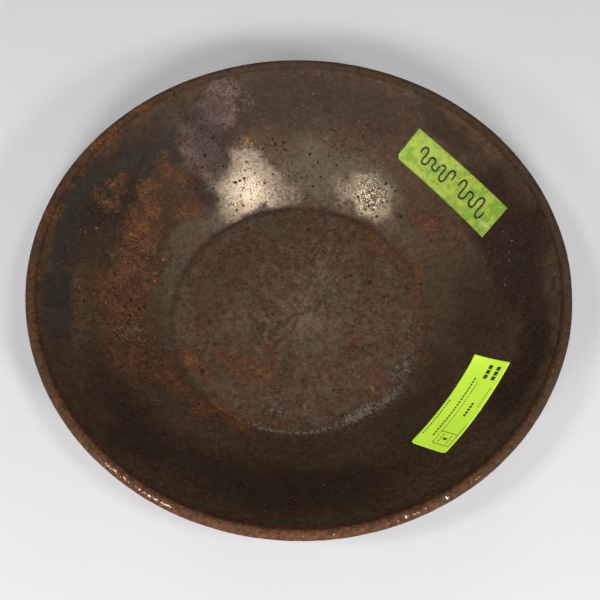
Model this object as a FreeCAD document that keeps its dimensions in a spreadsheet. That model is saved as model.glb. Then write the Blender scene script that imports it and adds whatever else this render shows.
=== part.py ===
"""Wired-rim sheet steel gold pan, with the two labels stuck on its wall.

Frame: millimetres, +Z up along the pan's axis, origin on the axis at the underside of the floor.
Azimuths are measured about +Z from +X.
"""
import FreeCAD, Part
import os
from math import asin, cos, degrees, radians, sin

import Sketcher

# sketch point ids: the first and last point of a line or arc, and an arc's centre
START, END, CENTRE = 1, 2, 3
# the sketch's own origin, as a geometry id and a point id
ORIGIN = (-1, 1)

SIZES = {
    # pan, spun from one round blank
    "rim_diameter": 304.8,
    "pan_height": 60.0,
    "floor_diameter": 155.0,
    "sheet_thickness": 1.0,
    "crease_radius": 4.0,
    "wall_angle": 30.0,
    # rim bead, rolled outwards over the wire
    "bead_radius": 3.0,
    "bead_proud": 0.7,
    "neck_radius": 2.0,
    "curl_turn": 319.0,
    # wire inside the bead
    "wire_clearance": 0.05,
    "wire_end_gap": 1.3,
    "wire_joint_azimuth": 100.0,
    # labels on the wall
    "label_lift": 0.05,
    "tape_radius": 122.3,
    "tape_azimuth": 39.5,
    "tape_tilt": 0.84,
    "tape_length": 78.0,
    "tape_width": 23.5,
    "tape_thickness": 0.14,
    "sticker_radius": 115.0,
    "sticker_azimuth": -36.6,
    "sticker_tilt": 0.4,
    "sticker_length": 66.7,
    "sticker_width": 25.4,
    "sticker_corner": 2.0,
    "sticker_thickness": 0.1,
}

# Where the wall's radius and top angle start from; the profile's constraints settle both.
WALL_RADIUS_GUESS = 280.0
WALL_TOP_ANGLE_GUESS = 48.0
NECK_TURN_GUESS = 31.0

BEAD_CENTRE_X = "sizes.rim_diameter / 2 - sizes.bead_radius"
BEAD_CENTRE_Z = "sizes.pan_height - sizes.bead_radius"
NECK_TURN = (
    "acos((sizes.neck_radius + sizes.bead_radius - sizes.bead_proud)"
    " / (sizes.neck_radius + sizes.bead_radius))"
)
FLOOR_FLAT = "sizes.floor_diameter / 2 - sizes.crease_radius * tan(sizes.wall_angle / 2)"
WIRE_RADIUS = "sizes.bead_radius - sizes.sheet_thickness - sizes.wire_clearance"
# the wall's own arc, as the pan profile's constraints leave it: radius and centre
WALL_RADIUS = "(pan_profile.Constraints.wall_radius / 1 mm)"
WALL_BACK = "(pan_profile.Constraints.wall_back / 1 mm)"
WALL_UP = "(pan_profile.Constraints.wall_up / 1 mm)"

doc = FreeCAD.newDocument("gold_pan")


def make_sheet():
    sheet = doc.addObject("Spreadsheet::Sheet", "sizes")
    for row, (alias, value) in enumerate(SIZES.items(), start=1):
        sheet.set(f"A{row}", alias)
        sheet.set(f"B{row}", str(value))
        sheet.setAlias(f"B{row}", alias)
    doc.recompute()


def new_sketch(body, name, role):
    """A sketch on the plane of the body's own origin that has this role."""
    plane = next(item for item in body.Origin.OriginFeatures if item.Role == role)
    sketch = body.newObject("Sketcher::SketchObject", name)
    sketch.AttachmentSupport = [(plane, "")]
    sketch.MapMode = "FlatFace"
    return sketch


def join(sketch, kind, *ids):
    sketch.addConstraint(Sketcher.Constraint(kind, *ids))


def drive(sketch, name, kind, ids, expression):
    """Add a named dimension and bind it to an expression."""
    value = sketch.evalExpression(expression)
    value = getattr(value, "Value", value)
    start = radians(value) if kind == "Angle" else value
    index = sketch.addConstraint(Sketcher.Constraint(kind, *ids, start))
    sketch.renameConstraint(index, name)
    sketch.setExpression(f"Constraints.{name}", expression)


def measure(sketch, name, kind, ids, start):
    """Add a named dimension that only reports, so that other sketches can use it."""
    index = sketch.addConstraint(Sketcher.Constraint(kind, *ids, start))
    sketch.renameConstraint(index, name)
    sketch.setDriving(index, False)


def add_line(sketch, first, last):
    return sketch.addGeometry(Part.LineSegment(first, last), False)


def add_arc_pair(sketch, centre, radii, angles):
    """Two concentric arcs over the same angles: the two sides of a bent sheet."""
    ids = []
    for radius in radii:
        circle = Part.Circle(centre, FreeCAD.Vector(0, 0, 1), radius)
        arc = Part.ArcOfCircle(circle, radians(min(angles)), radians(max(angles)))
        ids.append(sketch.addGeometry(arc, False))
    join(sketch, "Coincident", ids[0], CENTRE, ids[1], CENTRE)
    return ids


def revolve(body, sketch, angle):
    """Turn a profile about the pan's axis, half the angle to each side of it."""
    feature = body.newObject("PartDesign::Revolution", f"{body.Name}_revolution")
    feature.Profile = sketch
    feature.ReferenceAxis = (sketch, ["V_Axis"])
    feature.Midplane = True
    feature.setExpression("Angle", angle)


def bend(sketch, place, heading, radius, turn):
    """Bend the sheet on from a place on its inner face; a positive turn is to the left.

    Returns the ids of the inner and outer arc, their (first, last) point ids, and the place
    and heading where the bend ends.
    """
    side = 1 if turn > 0 else -1
    left = FreeCAD.Vector(-sin(radians(heading)), cos(radians(heading)), 0)
    centre = place + left * radius * side
    first = heading - 90 * side
    last = first + turn
    radii = (radius, radius + side * SIZES["sheet_thickness"])
    ids = add_arc_pair(sketch, centre, radii, (first, last))
    ends = (START, END) if side > 0 else (END, START)
    out = FreeCAD.Vector(cos(radians(last)), sin(radians(last)), 0)
    return ids, ends, centre + out * radius, heading + turn


def draw_pan_profile(sketch):
    """Half section of the sheet: floor, crease, wall, neck, and the curl around the wire."""
    thickness = SIZES["sheet_thickness"]
    flat = SIZES["floor_diameter"] / 2
    floor_face = add_line(sketch, FreeCAD.Vector(0, thickness, 0), FreeCAD.Vector(flat, thickness, 0))
    floor_back = add_line(sketch, FreeCAD.Vector(0, 0, 0), FreeCAD.Vector(flat, 0, 0))
    axis = add_line(sketch, FreeCAD.Vector(0, 0, 0), FreeCAD.Vector(0, thickness, 0))
    bends = {
        "crease": (SIZES["crease_radius"], SIZES["wall_angle"]),
        "wall": (WALL_RADIUS_GUESS, WALL_TOP_ANGLE_GUESS - SIZES["wall_angle"]),
        "neck": (SIZES["neck_radius"], NECK_TURN_GUESS),
        "curl": (SIZES["bead_radius"], -SIZES["curl_turn"]),
    }
    place = FreeCAD.Vector(flat, thickness, 0)
    heading = 0.0
    last = ((floor_face, floor_back), END)
    arcs = {}
    for name, (radius, turn) in bends.items():
        ids, ends, place, heading = bend(sketch, place, heading, radius, turn)
        for before, after in zip(last[0], ids):
            join(sketch, "Tangent", before, last[1], after, ends[0])
        last = (ids, ends[1])
        arcs[name] = ids
    curl_face, curl_back = arcs["curl"]
    edge = add_line(
        sketch,
        sketch.getPoint(curl_face, START),
        sketch.getPoint(curl_back, START),
    )
    join(sketch, "Coincident", edge, START, curl_face, START)
    join(sketch, "Coincident", edge, END, curl_back, START)
    join(sketch, "PointOnObject", curl_face, CENTRE, edge)
    join(sketch, "Coincident", floor_back, START, *ORIGIN)
    join(sketch, "Coincident", axis, START, floor_back, START)
    join(sketch, "Coincident", axis, END, floor_face, START)
    join(sketch, "Horizontal", floor_face)
    join(sketch, "Horizontal", floor_back)
    join(sketch, "Vertical", axis)
    drive(sketch, "thickness", "DistanceY", (axis, START, axis, END), "sizes.sheet_thickness")
    drive(sketch, "floor_flat", "DistanceX", (floor_face, END), FLOOR_FLAT)
    drive(sketch, "crease_radius", "Radius", (arcs["crease"][0],), "sizes.crease_radius")
    drive(sketch, "neck_radius", "Radius", (arcs["neck"][0],), "sizes.neck_radius")
    drive(sketch, "bead_radius", "Radius", (curl_face,), "sizes.bead_radius")
    drive(sketch, "bead_x", "DistanceX", (curl_face, CENTRE), BEAD_CENTRE_X)
    drive(sketch, "bead_z", "DistanceY", (curl_face, CENTRE), BEAD_CENTRE_Z)
    drive(sketch, "crease_turn", "Angle", (arcs["crease"][0],), "sizes.wall_angle * 1 deg")
    drive(sketch, "neck_turn", "Angle", (arcs["neck"][0],), NECK_TURN)
    drive(sketch, "curl_turn", "Angle", (curl_face,), "sizes.curl_turn * 1 deg")
    wall = arcs["wall"][0]
    measure(sketch, "wall_radius", "Radius", (wall,), WALL_RADIUS_GUESS)
    measure(sketch, "wall_back", "DistanceX", (wall, CENTRE, *ORIGIN), 0)
    measure(sketch, "wall_up", "DistanceY", (*ORIGIN, wall, CENTRE), 0)


def make_pan_body():
    """The pan itself: one round blank, spun to shape, its edge curled outwards."""
    body = doc.addObject("PartDesign::Body", "pan_body")
    sketch = new_sketch(body, "pan_profile", "XZ_Plane")
    draw_pan_profile(sketch)
    revolve(body, sketch, "360 deg")
    return body


def turn_about_axis(item, azimuth):
    item.Placement = FreeCAD.Placement(FreeCAD.Vector(), FreeCAD.Rotation(FreeCAD.Vector(0, 0, 1), 1))
    item.setExpression(".Placement.Rotation.Angle", azimuth)


def make_rim_wire():
    """The stiffening wire: a ring inside the curl, with a small gap between its two ends."""
    body = doc.addObject("PartDesign::Body", "rim_wire")
    sketch = new_sketch(body, "wire_section", "XZ_Plane")
    centre = FreeCAD.Vector(SIZES["rim_diameter"] / 2, SIZES["pan_height"], 0)
    section = Part.Circle(centre, FreeCAD.Vector(0, 0, 1), SIZES["bead_radius"])
    circle = sketch.addGeometry(section, False)
    drive(sketch, "centre_x", "DistanceX", (circle, CENTRE), BEAD_CENTRE_X)
    drive(sketch, "centre_z", "DistanceY", (circle, CENTRE), BEAD_CENTRE_Z)
    drive(sketch, "radius", "Radius", (circle,), WIRE_RADIUS)
    revolve(body, sketch, f"360 deg - 1 rad * sizes.wire_end_gap / ({BEAD_CENTRE_X})")
    turn_about_axis(body, "sizes.wire_joint_azimuth - 180")
    return body


def make_label_skin(label):
    """A band as thick as the label, lying along the wall over more than the label's outline."""
    body = doc.addObject("PartDesign::Body", f"{label}_skin")
    sketch = new_sketch(body, f"{label}_band", "XZ_Plane")
    profile = doc.getObject("pan_profile")
    wall_radius, back, up = (
        profile.getDatum(name).Value for name in ("wall_radius", "wall_back", "wall_up")
    )
    reach = 0.75 * SIZES[f"{label}_width"]
    ends = (SIZES[f"{label}_radius"] - reach, SIZES[f"{label}_radius"] + reach)
    angles = [degrees(asin((end + back) / wall_radius)) - 90 for end in ends]
    radii = (wall_radius - SIZES[f"{label}_thickness"], wall_radius)
    upper, lower = add_arc_pair(sketch, FreeCAD.Vector(-back, up, 0), radii, angles)
    for point in (START, END):
        edge = add_line(sketch, sketch.getPoint(upper, point), sketch.getPoint(lower, point))
        join(sketch, "Coincident", edge, START, upper, point)
        join(sketch, "Coincident", edge, END, lower, point)
        join(sketch, "PointOnObject", upper, CENTRE, edge)
    centre = f"sizes.{label}_radius"
    margin = f"0.75 * sizes.{label}_width"
    lower_radius = f"{WALL_RADIUS} - sizes.label_lift"
    drive(sketch, "back", "DistanceX", (upper, CENTRE, *ORIGIN), WALL_BACK)
    drive(sketch, "up", "DistanceY", (*ORIGIN, upper, CENTRE), WALL_UP)
    drive(sketch, "lower_radius", "Radius", (lower,), lower_radius)
    drive(sketch, "upper_radius", "Radius", (upper,), f"{lower_radius} - sizes.{label}_thickness")
    drive(sketch, "low_end", "DistanceX", (lower, START), f"{centre} - {margin}")
    drive(sketch, "high_end", "DistanceX", (lower, END), f"{centre} + {margin}")
    revolve(body, sketch, f"1.5 rad * sizes.{label}_length / {centre}")
    return body


def make_label_outline(label):
    """A block with the label's flat outline, standing square on the wall at azimuth 0."""
    body = doc.addObject("PartDesign::Body", f"{label}_outline")
    sketch = new_sketch(body, f"{label}_rectangle", "XY_Plane")
    half_width = SIZES[f"{label}_width"] / 2
    half_length = SIZES[f"{label}_length"] / 2
    corners = [
        FreeCAD.Vector(x * half_width, y * half_length, 0)
        for x, y in ((-1, -1), (1, -1), (1, 1), (-1, 1))
    ]
    sides = [add_line(sketch, corners[i - 1], corners[i]) for i in range(4)]
    for i, side in enumerate(sides):
        join(sketch, "Coincident", sides[i - 1], END, side, START)
        join(sketch, "Horizontal" if i % 2 else "Vertical", side)
    join(sketch, "Symmetric", sides[0], START, sides[2], START, *ORIGIN)
    width_side, length_side = sides[1], sides[2]
    drive(sketch, "width", "DistanceX", (width_side, START, width_side, END), f"sizes.{label}_width")
    drive(sketch, "length", "DistanceY", (length_side, START, length_side, END), f"sizes.{label}_length")
    sketch.AttachmentOffset = FreeCAD.Placement(
        FreeCAD.Vector(), FreeCAD.Rotation(FreeCAD.Vector(0, 0, 1), SIZES[f"{label}_tilt"])
    )
    sketch.setExpression(".AttachmentOffset.Rotation.Angle", f"sizes.{label}_tilt")
    block = body.newObject("PartDesign::Pad", f"{label}_block")
    block.Profile = sketch
    block.Midplane = True
    block.setExpression("Length", f"sizes.{label}_width")
    # stand the block on the wall, tipped by the wall's own slope there
    run = f"(sizes.{label}_radius + {WALL_BACK})"
    body.Placement = FreeCAD.Placement(
        FreeCAD.Vector(1, 0, 1), FreeCAD.Rotation(FreeCAD.Vector(0, -1, 0), 1)
    )
    body.setExpression(".Placement.Base.x", f"sizes.{label}_radius")
    body.setExpression(".Placement.Base.z", f"{WALL_UP} - sqrt({WALL_RADIUS} ^ 2 - {run} ^ 2)")
    body.setExpression(".Placement.Rotation.Angle", f"asin({run} / {WALL_RADIUS})")
    return body


def round_low_end(body, label):
    """Round the two corners at the end of the outline that lies at the lower azimuth."""
    block = body.Tip
    doc.recompute()
    edges = [
        f"Edge{number}"
        for number, edge in enumerate(block.Shape.Edges, start=1)
        if edge.BoundBox.ZLength > SIZES[f"{label}_width"] / 2 and edge.CenterOfMass.y < 0
    ]
    rounding = body.newObject("PartDesign::Fillet", f"{label}_corners")
    rounding.Base = (block, edges)
    rounding.setExpression("Radius", f"sizes.{label}_corner")


def make_label(label, name, outline):
    """A thin label that follows the wall, cut from its band by its flat outline."""
    piece = doc.addObject("Part::Common", name)
    piece.Base = make_label_skin(label)
    piece.Tool = outline
    turn_about_axis(piece, f"sizes.{label}_azimuth")
    return piece


def check(pieces):
    for item in doc.Objects:
        if {"Invalid", "Error"} & set(item.State):
            raise RuntimeError(f"{item.Name} failed: {item.State}")
    for piece in pieces:
        if piece.Shape.isNull() or not piece.Shape.isValid():
            raise RuntimeError(f"{piece.Label} has no valid shape")
        print(piece.Label, round(piece.Shape.Volume, 1), piece.Shape.optimalBoundingBox())


make_sheet()
nodes = [make_pan_body(), make_rim_wire()]
doc.recompute()
tape_outline = make_label_outline("tape")
sticker_outline = make_label_outline("sticker")
round_low_end(sticker_outline, "sticker")
nodes.append(make_label("tape", "masking_tape_label", tape_outline))
nodes.append(make_label("sticker", "lot_sticker", sticker_outline))
doc.recompute()
check(nodes)

os.makedirs("parts", exist_ok=True)
for node in nodes:
    node.Shape.exportStep(f"parts/{node.Label}.step")
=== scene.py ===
"""Old gold pan: rusted sheet steel with a wired rim and two stuck-on labels, on a pale floor.

Everything is in metres in the CAD model's frame: +Z up, origin under the middle of the floor.
Azimuths are in degrees about +Z from +X, and radii are distances from the pan's axis.
Places on the pan are written as azimuth in degrees and radius in millimetres.
"""

import math

import bpy
import numpy as np
from mathutils import Matrix, Vector, noise


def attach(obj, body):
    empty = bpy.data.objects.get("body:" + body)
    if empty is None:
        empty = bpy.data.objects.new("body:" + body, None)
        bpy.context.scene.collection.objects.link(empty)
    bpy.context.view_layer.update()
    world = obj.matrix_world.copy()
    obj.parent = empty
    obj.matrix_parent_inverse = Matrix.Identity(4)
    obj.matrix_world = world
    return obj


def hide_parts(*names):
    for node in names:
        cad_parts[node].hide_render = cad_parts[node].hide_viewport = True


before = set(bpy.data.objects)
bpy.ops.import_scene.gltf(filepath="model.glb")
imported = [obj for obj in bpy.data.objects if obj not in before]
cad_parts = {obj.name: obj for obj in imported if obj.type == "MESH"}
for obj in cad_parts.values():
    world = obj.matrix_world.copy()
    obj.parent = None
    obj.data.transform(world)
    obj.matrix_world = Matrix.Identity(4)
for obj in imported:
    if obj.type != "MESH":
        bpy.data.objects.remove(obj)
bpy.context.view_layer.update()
scene = bpy.context.scene

MM = 0.001

# The pan's section, as the CAD model has it: the sheet's inner face is a chain of a flat floor
# and four bends, each with a radius in millimetres and a turn in degrees, negative to the right.
SHEET = 1.0
FLOOR_FLAT = 76.428
BENDS = {
    "crease": (4.0, 30.0),
    "wall": (272.82, 18.385),
    "neck": (2.0, 30.68),
    "curl": (3.0, -319.0),
}
WALL_RADIUS = BENDS["wall"][0]
WALL_CENTRE = (-57.984, 237.808)

# How many rows of mesh each part of the section has on the seen face and on the back, and how
# many points there are around each row.
FACE_ROWS = {"floor": 27, "crease": 6, "wall": 48, "neck": 4, "curl": 30}
BACK_ROWS = {"floor": 10, "crease": 4, "wall": 20, "neck": 3, "curl": 14}
AROUND = 540

# The labels, as the CAD model has them: middle, tilt, length around, width out and thickness.
# LIFT is the gap between the wall and a label.
LIFT = 0.05
TAPE = {
    "azimuth": 39.5,
    "radius": 122.3,
    "tilt": 0.84,
    "length": 78.0,
    "width": 23.5,
    "thick": 0.14,
}
STICKER = {
    "azimuth": -36.6,
    "radius": 115.0,
    "tilt": 0.4,
    "length": 66.7,
    "width": 25.4,
    "thick": 0.1,
}
STICKER_CORNER = 2.0
TAPE_CLIPPED_CORNER = 2.4

# Patches of each kind of wear, and of the painted shade and sheen among them: azimuth, radius,
# half length around, half width out, strength.
WEAR = {
    # bright satin steel, rubbed bare
    "bare": (
        (113, 94, 27, 17, 1.0),
        (104, 85, 20, 8, 0.9),
        (62, 91, 21, 14, 0.95),
        (125, 101, 14, 16, 0.6),
        (134, 88, 26, 10, 0.55),
        (155, 84, 34, 8, 0.35),
        (176, 83, 26, 8, 0.25),
        (22, 92, 50, 14, 0.15),
    ),
    # blue-black patina
    "slate": (
        (128, 143, 18, 6, 0.7),
        (131, 126, 13, 9, 1.0),
        (142, 136, 18, 6, 1.0),
        (157, 140, 26, 6, 1.0),
        (170, 138, 26, 9, 0.9),
        (-175, 138, 26, 9, 0.9),
        (-165, 138, 22, 9, 0.7),
        (140, 122, 10, 9, 0.5),
        (163, 124, 14, 7, 0.4),
    ),
    # pinkish grey scale, partly painted sheen: the streak from azimuth 103 to 125 stands for the
    # left highlight's sheen running up the wall
    "violet_scale_and_sheen": (
        (112, 138, 18, 8, 0.7),
        (116, 130, 13, 11, 0.9),
        (121, 120, 10, 13, 0.9),
        (125, 109, 8, 10, 0.8),
        (103, 132, 10, 14, 0.35),
        (10, 121, 24, 6, 0.3),
        (60, 38, 26, 20, 0.45),
        (20, 8, 30, 26, 0.49),
        (-140, 18, 20, 15, 0.46),
    ),
    # orange rust
    "rust": (
        (133, 119, 9, 9, 0.62),
        (132, 108, 10, 9, 0.6),
        (137, 100, 12, 9, 0.6),
        (144, 114, 14, 9, 0.65),
        (155, 109, 18, 12, 0.72),
        (169, 106, 18, 11, 0.72),
        (172, 95, 12, 7, 0.6),
        (177, 114, 20, 9, 0.58),
        (-173, 104, 26, 14, 0.6),
        (148, 133, 7, 5, 0.6),
        (154, 131, 8, 6, 0.6),
        (-160, 98, 30, 18, 0.52),
        (-148, 86, 28, 9, 0.6),
        (-135, 84, 24, 7, 0.62),
        (-120, 79, 24, 4, 0.7),
        (-151, 71, 12, 6, 0.8),
        (-142, 70, 12, 5, 0.6),
        (-118, 44, 16, 9, 0.58),
        (-135, 50, 20, 14, 0.60),
        (-69, 72, 12, 5, 0.62),
        (38, 101, 6, 8, 0.75),
        (40, 104, 22, 10, 0.4),
        (-103, 139, 10, 5, 0.62),
        (-88, 136, 22, 4, 0.5),
        (-67, 131, 16, 5, 0.5),
        (-57, 128, 12, 6, 0.5),
        (-20, 128, 40, 14, 0.25),
        (55, 72, 14, 5, 0.6),
        (36, 76, 10, 4, 0.6),
        (18, 76, 16, 5, 0.65),
    ),
    # pale mineral crust
    "crust": (
        (-100, 76.5, 22, 1.6, 0.60),
        (-84, 76, 16, 1.8, 0.66),
        (-72, 75.5, 16, 2.4, 0.62),
        (-60, 74, 15, 4.6, 0.64),
        (-44, 76, 14, 4.0, 0.58),
        (-30, 72, 18, 6.5, 0.46),
        (-12, 68, 18, 8.0, 0.36),
        (-102, 65, 9, 4, 0.5),
        (-168, 100, 10, 12, 0.4),
    ),
    # dark pits of one to three millimetres
    "pits": (
        (63, 93, 17, 14, 1.0),
        (112, 92, 24, 15, 0.75),
        (95, 97, 30, 18, 0.45),
        (128, 104, 14, 14, 0.7),
        (120, 116, 14, 18, 0.9),
        (75, 110, 40, 14, 0.4),
        (48, 52, 30, 22, 0.65),
        (20, 62, 20, 12, 0.35),
        (130, 40, 60, 36, 0.2),
        (-70, 45, 60, 30, 0.15),
        (170, 100, 60, 26, 0.3),
    ),
    # fine dark peppering
    "pepper": (
        (62, 92, 21, 17, 0.85),
        (112, 92, 20, 12, 0.5),
        (118, 124, 17, 22, 1.0),
        (130, 103, 13, 16, 1.0),
        (95, 108, 30, 10, 0.4),
        (45, 50, 40, 26, 0.5),
        (15, 64, 26, 14, 0.45),
        (-45, 66, 30, 12, 0.5),
        (-60, 112, 90, 26, 0.35),
        (-150, 108, 60, 24, 0.35),
        (80, 116, 50, 20, 0.35),
        (160, 108, 50, 22, 0.4),
    ),
    # small pale flecks, partly painted glints: specks of light where the rough wall catches it
    "pale_flecks_and_glints": (
        (88, 122, 46, 20, 1.0),
        (60, 120, 20, 18, 0.6),
        (-92, 128, 60, 12, 0.7),
        (-120, 108, 40, 14, 0.4),
        (170, 116, 60, 20, 0.6),
        (12, 121, 24, 8, 0.8),
        (-60, 120, 30, 16, 0.4),
    ),
    # smooth olive-grey skin
    "olive": (
        (84, 98, 30, 16, 1.0),
        (60, 92, 26, 15, 0.9),
        (140, 88, 40, 12, 0.7),
        (22, 92, 46, 14, 0.7),
        (176, 84, 40, 9, 0.8),
        (150, 86, 26, 8, 0.6),
        (-8, 98, 24, 9, 0.8),
        (30, 14, 34, 34, 0.8),
        (-165, 40, 26, 14, 0.7),
        (29, 59, 14, 10, 0.6),
        (-97, 84, 40, 7, 0.5),
        (-40, 20, 26, 20, 0.7),
    ),
    # black-brown film, partly painted shade: its patches on the walls also stand in for shade
    "dark_film_and_shade": (
        (-95, 118, 100, 22, 0.6),
        (-140, 122, 60, 20, 0.65),
        (-45, 110, 50, 22, 0.5),
        (-20, 134, 50, 12, 0.9),
        (15, 130, 60, 18, 0.9),
        (62, 128, 40, 14, 0.35),
        (50, 141, 40, 8, 0.6),
        (150, 58, 60, 20, 0.35),
        (115, 62, 50, 13, 0.35),
        (90, 132, 100, 20, 0.55),
        (150, 132, 60, 18, 0.8),
        (-150, 140, 50, 8, 0.5),
        (-5, 108, 46, 22, 0.6),
        (85, 116, 60, 12, 0.3),
        (14, 92, 50, 18, 0.45),
        (40, 104, 40, 30, 0.35),
        (-35, 92, 50, 14, 0.55),
        (-90, 88, 70, 12, 0.4),
        (-165, 96, 70, 18, 0.5),
        (160, 112, 70, 24, 0.62),
    ),
    # painted shade: a dark line along the crease, strongest on the far and left sides
    "crease_shade": (
        (70, 77.4, 40, 1.5, 0.9),
        (105, 77.4, 34, 1.5, 1.0),
        (140, 77.4, 34, 1.5, 1.0),
        (175, 77.4, 34, 1.5, 0.9),
        (-155, 77.4, 28, 2.2, 0.6),
        (40, 77.2, 26, 1.1, 0.45),
        (5, 77.4, 40, 1.2, 0.4),
    ),
}

# The crust and the painted crease shade follow the crease, so their outlines stay where they are.
SHARP_WEAR = ("crust", "crease_shade")

# Single blots of bright orange rust: azimuth, radius, size across.
BLOTS = (
    (107.5, 116.6, 3.2),
    (-47.5, 65.5, 2.2),
    (158, 111, 2.0),
    (159, 91, 1.6),
    (169, 91, 1.4),
    (-176, 104, 1.4),
)
# Single blots of dull red rust.
RED_BLOTS = (
    (-156, 59, 9.0),
    (-151, 54, 6.0),
    (15, 63, 8.0),
    (-33, 44, 9.0),
    (-39, 63, 7.0),
    (96, 52, 6.0),
    (103, 17, 6.0),
    (36, 73, 9.0),
    (55, 72, 8.0),
    (140, 90, 6.0),
    (118, 85, 5.0),
    (-170, 62, 8.0),
    (-118, 30, 8.0),
)


def around(azimuth, middle):
    """Signed turn in degrees from a middle azimuth, from -180 to 180."""
    return (azimuth - middle + 180) % 360 - 180


def bell(azimuth, middle, width):
    """1 at a middle azimuth, falling off smoothly to both sides."""
    return np.exp(-((around(azimuth, middle) / width) ** 2))


def spread(azimuth, radius, patches):
    """Strength from 0 to 1 of the strongest patch at each place."""
    total = np.zeros_like(radius)
    for middle, middle_radius, half_length, half_width, strength in patches:
        along = np.radians(around(azimuth, middle)) * radius / half_length
        out = (radius - middle_radius) / half_width
        total = np.maximum(total, strength * np.exp(-0.7 * (along**2 + out**2) ** 1.5))
    return total


def blots(azimuth, radius, rows, strength):
    """Single round blots, as patches as long as they are wide."""
    return spread(azimuth, radius, [(a, r, size / 2, size / 2, strength) for a, r, size in rows])


def cloud(points, size, seed):
    """Smooth noise from 0 to 1 with features about as big as size, in millimetres."""
    shift = Vector((seed * 17.3, seed * 5.1, seed * 9.7))
    values = [noise.noise(Vector(point) / size + shift) for point in points]
    return np.array(values) * 0.5 + 0.5


def section(rows, offset=0.0):
    """The sheet's section from the floor to the curl's end, as radius, height, heading and bend.

    The heading is the direction of travel. offset moves the line along its right-hand side.
    The last two columns are the row's radius and heading again, or those where the curl starts
    for rows on the curl.
    """
    line = []
    for radius in np.linspace(0, FLOOR_FLAT, rows["floor"] + 1)[1:-1]:
        line.append((radius, SHEET, 0.0, 0))
    place, heading = np.array([FLOOR_FLAT, SHEET]), 0.0
    for bend, (name, (bend_radius, turn)) in enumerate(BENDS.items(), 1):
        side = math.copysign(1, turn)
        centre = place + np.array([-math.sin(heading), math.cos(heading)]) * bend_radius * side
        for step in range(rows[name]):
            now = heading + math.radians(turn) * step / rows[name]
            spot = centre + np.array([math.sin(now), -math.cos(now)]) * side * bend_radius
            line.append((*spot, now, bend))
        heading += math.radians(turn)
        place = centre + np.array([math.sin(heading), -math.cos(heading)]) * side * bend_radius
    line.append((*place, heading, len(BENDS)))
    line = np.array(line)
    on_curl = line[:, 3] == len(BENDS)
    curl_start = line[on_curl][0]
    lead_radius = np.where(on_curl, curl_start[0], line[:, 0])
    lead_heading = np.where(on_curl, curl_start[2], line[:, 2])
    line[:, 0] += np.sin(line[:, 2]) * offset
    line[:, 1] -= np.cos(line[:, 2]) * offset
    return np.column_stack([line, lead_radius, lead_heading])


# Shallow dents from use: azimuth, radius, size across, depth.
DENTS = (
    (150, 118, 30, 0.35),
    (82, 108, 34, 0.25),
    (20, 104, 40, 0.3),
    (-70, 120, 34, 0.35),
    (-128, 104, 30, 0.3),
    (-15, 132, 26, 0.25),
    (70, 36, 44, 0.15),
    (-130, 40, 50, 0.15),
)
# Long waves around the pan: height at the rim, how many around, and phase in radians.
WAVES = ((0.12, 2, 0.6), (0.08, 3, 2.0))
WAVES_RIM = 150
# Unevenness of no fixed place: size across and height at the rim.
UNEVEN_SIZE = 26
UNEVEN_HEIGHT = 0.3
# The base is raised a little, so that its dents stay above the table: by how much, the radius
# it is raised out to, and the radius where that has faded away.
BASE_RAISED = 0.18
RAISED_TO = 76
RAISED_END = 100


def waviness(azimuth, radius):
    """How far the hand-worn sheet stands off its ideal shape, in millimetres."""
    turn = np.radians(azimuth)
    out = radius / WAVES_RIM
    lift = sum(height * out**2 * np.sin(count * turn + phase) for height, count, phase in WAVES)
    points = np.stack([radius * np.cos(turn), radius * np.sin(turn), 0 * radius], -1)
    uneven = cloud(points.reshape(-1, 3), UNEVEN_SIZE, 1).reshape(radius.shape) - 0.5
    lift += uneven * UNEVEN_HEIGHT * out
    for middle, middle_radius, size, depth in DENTS:
        lift -= depth * spread(azimuth, radius, [(middle, middle_radius, size / 2, size / 2, 1.0)])
    return lift + BASE_RAISED * np.clip((RAISED_END - radius) / (RAISED_END - RAISED_TO), 0, 1)


def bead_lumps(points, azimuth):
    """Rust scale and knocks on the bead, in millimetres, roughest on the near side."""
    near = 0.45 + 0.55 * bell(azimuth, -90, 70)
    fine = cloud(points, 2.6, 3) - 0.5
    broad = cloud(points, 9.0, 4) - 0.5
    return near * (0.22 * fine + 0.2 * broad)


def turned(line, azimuth):
    """Rings of points for each row of the section."""
    radius = line[:, 0][:, None]
    turn = np.radians(azimuth)[None]
    height = line[:, 1][:, None] + 0 * turn
    return np.stack([radius * np.cos(turn), radius * np.sin(turn), height], -1)


def normals(heading, azimuth):
    """Directions square to the sheet, towards the inside of the pan."""
    turn = np.radians(azimuth)
    inwards = -np.sin(heading)
    upwards = np.cos(heading) + 0 * turn
    return np.stack([inwards * np.cos(turn), inwards * np.sin(turn), upwards], -1)


def bent_rings(line, azimuth, outer_face):
    """Rings of one face of the sheet, with its waviness and, on the bead, its lumps."""
    grid_azimuth = azimuth[None] + 0 * line[:, 0][:, None]
    lead = normals(line[:, 5][:, None] + 0 * grid_azimuth, grid_azimuth)
    rings = turned(line, azimuth)
    lift = waviness(grid_azimuth, line[:, 4][:, None] + 0 * grid_azimuth)
    rings = rings + lead * lift[..., None]
    if not outer_face:
        return rings
    own = normals(line[:, 2][:, None] + 0 * grid_azimuth, grid_azimuth)
    on_curl = line[:, 3] == len(BENDS)
    bumps = bead_lumps(rings[on_curl].reshape(-1, 3), grid_azimuth[on_curl].ravel())
    rings[on_curl] += own[on_curl] * bumps.reshape(-1, AROUND)[..., None]
    return rings


def add_object(name, mesh):
    piece = bpy.data.objects.new(name, mesh)
    scene.collection.objects.link(piece)
    return piece


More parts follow.
